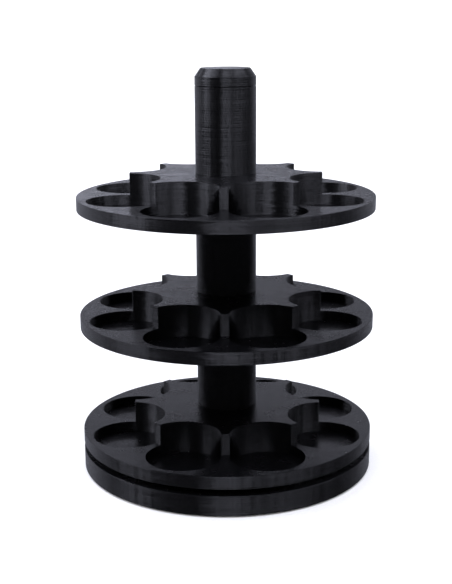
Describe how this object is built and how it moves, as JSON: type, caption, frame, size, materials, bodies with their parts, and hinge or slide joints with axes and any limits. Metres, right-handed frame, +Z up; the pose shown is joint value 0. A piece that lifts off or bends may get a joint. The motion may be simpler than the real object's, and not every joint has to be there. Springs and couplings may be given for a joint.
{
  "type": "poker chip carousel",
  "caption": "Tiered rotating poker chip rack: round trays with chip pockets around star-shaped hubs on a central post, turning on a round base.",
  "frame": {"origin": "on the post's axis, on the surface that the rubber feet stand on", "axes": "+Z up along the post, +X and +Y level, each through a tip of the star hubs"},
  "size_m": [0.172, 0.172, 0.2338],
  "materials": {
    "base_plastic": "3D-printed black plastic, satin, fine horizontal layer lines",
    "tray_plastic": "3D-printed black plastic, satin top faces with fine diagonal print lines, layer lines on the walls",
    "post_plastic": "3D-printed black plastic, satin, fine horizontal layer lines",
    "cap_plastic": "3D-printed black plastic, satin",
    "foot_rubber": "matte black rubber",
    "race_cage_plastic": "3D-printed dark grey plastic",
    "bearing_cage_nylon": "natural nylon, satin",
    "ball_steel": "polished steel balls",
    "bearing_steel": "ground bearing steel",
    "zinc_steel": "zinc-plated steel"
  },
  "bodies": {
    "base": {"base_plate": "base_plastic", "rubber_foot_1": "foot_rubber", "rubber_foot_2": "foot_rubber", "rubber_foot_3": "foot_rubber", "rubber_foot_4": "foot_rubber", "rubber_foot_5": "foot_rubber", "rubber_foot_6": "foot_rubber", "bearing_outer_ring": "bearing_steel"},
    "carousel": {"bottom_tray": "tray_plastic", "middle_tray": "tray_plastic", "top_tray": "tray_plastic", "lower_post_tube": "post_plastic", "middle_post_tube": "post_plastic", "upper_post_tube": "post_plastic", "top_cap": "cap_plastic", "tie_rod": "zinc_steel", "lower_nut": "zinc_steel", "lower_washer": "zinc_steel", "upper_nut": "zinc_steel", "upper_washer": "zinc_steel", "bearing_spacer": "zinc_steel", "bearing_inner_ring": "bearing_steel"},
    "race_rollers": {"race_cage": "race_cage_plastic", "race_ball_1": "ball_steel", "race_ball_2": "ball_steel", "race_ball_3": "ball_steel", "race_ball_4": "ball_steel", "race_ball_5": "ball_steel", "race_ball_6": "ball_steel", "race_ball_7": "ball_steel", "race_ball_8": "ball_steel", "race_ball_9": "ball_steel", "race_ball_10": "ball_steel", "race_ball_11": "ball_steel", "race_ball_12": "ball_steel"},
    "bearing_rollers": {"bearing_cage": "bearing_cage_nylon", "bearing_ball_1": "ball_steel", "bearing_ball_2": "ball_steel", "bearing_ball_3": "ball_steel", "bearing_ball_4": "ball_steel", "bearing_ball_5": "ball_steel", "bearing_ball_6": "ball_steel", "bearing_ball_7": "ball_steel"}
  },
  "joints": [
    {"name": "carousel_spin", "type": "hinge", "parent": "base", "child": "carousel", "pos_m": [0, 0, 0.01435], "axis": [0, 0, 1], "continuous": true},
    {"name": "race_cage_spin", "type": "hinge", "parent": "base", "child": "race_rollers", "pos_m": [0, 0, 0.01435], "axis": [0, 0, 1], "continuous": true},
    {"name": "bearing_cage_spin", "type": "hinge", "parent": "base", "child": "bearing_rollers", "pos_m": [0, 0, 0.0109], "axis": [0, 0, 1], "continuous": true}
  ],
  "couplings": [
    {"joint": "race_cage_spin", "follows": "carousel_spin", "ratio": 0.5},
    {"joint": "bearing_cage_spin", "follows": "carousel_spin", "ratio": 0.3677}
  ]
}
